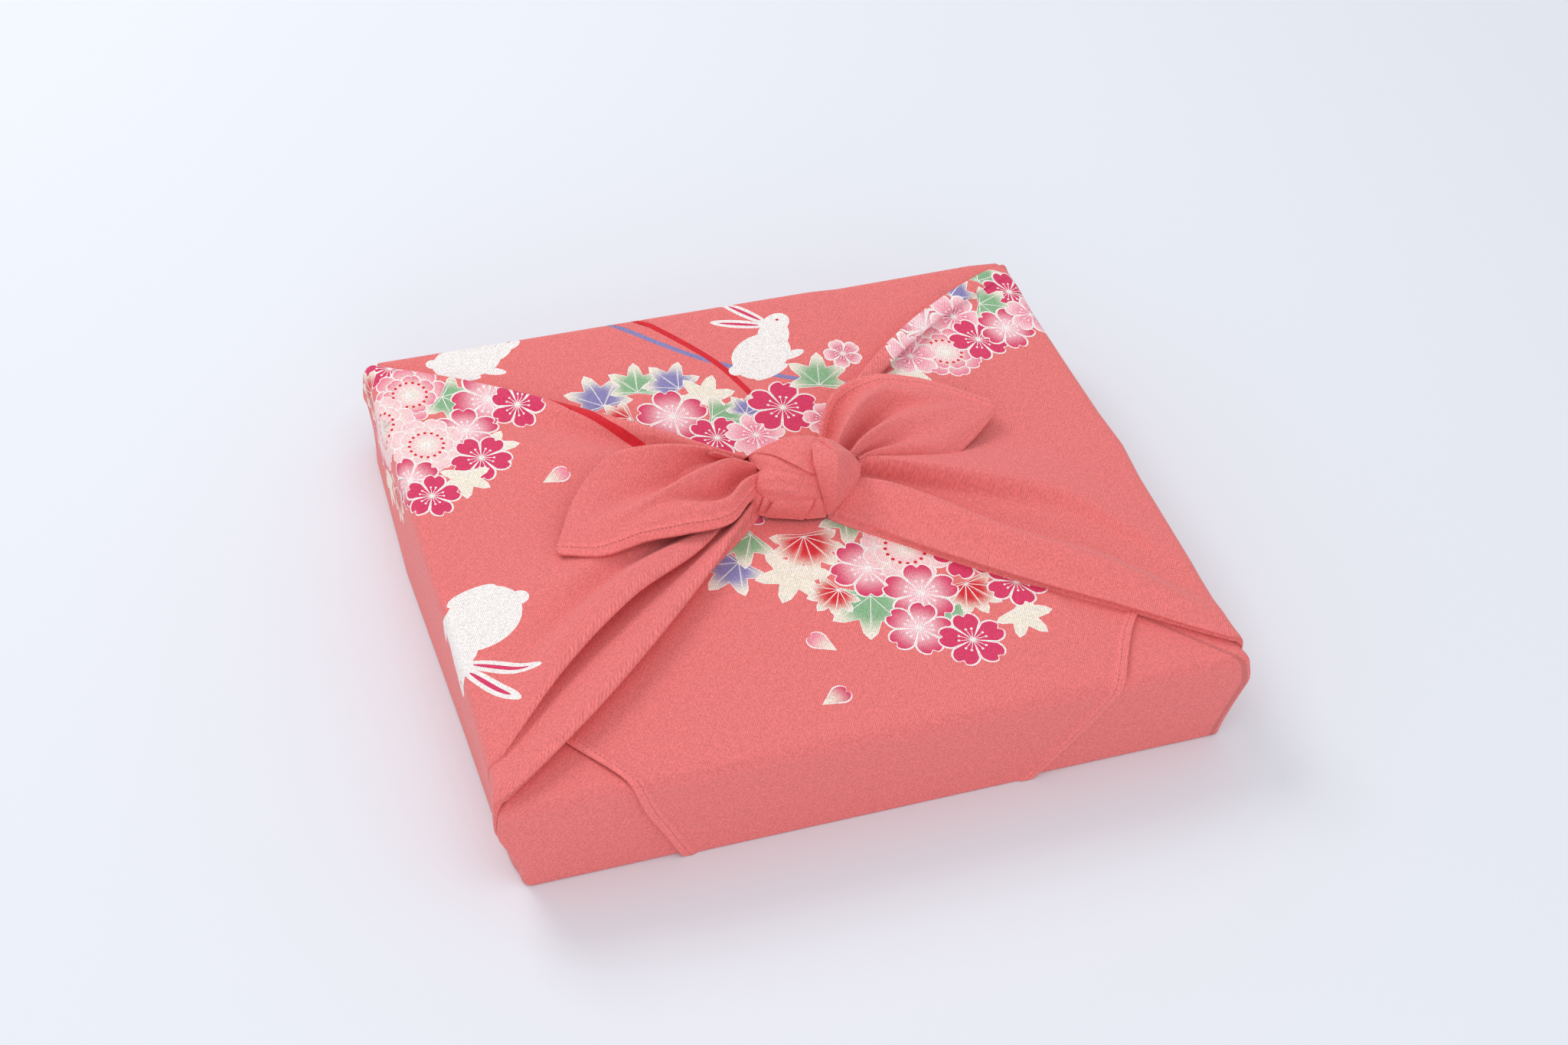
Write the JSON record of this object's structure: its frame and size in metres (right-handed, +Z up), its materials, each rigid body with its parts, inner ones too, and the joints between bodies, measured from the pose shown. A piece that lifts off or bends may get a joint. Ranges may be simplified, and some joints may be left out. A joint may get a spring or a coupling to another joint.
{
  "type": "furoshiki wrap",
  "caption": "Square crepe cloth folded over a flat gift parcel and tied on top, with a round knot, two drawn arms and two leaf-shaped loose ends.",
  "frame": {"origin": "on the surface that the wrap stands on, under the middle of its box", "axes": "+X along the parcel's long side, +Y to its back, away from the side where the flap is tucked under, +Z up"},
  "size_m": [0.2824, 0.226, 0.0743],
  "materials": {
    "coral_crepe": "matte pebbled crepe"
  },
  "bodies": {
    "root": {"furoshiki_cloth": "coral_crepe"}
  },
  "joints": []
}
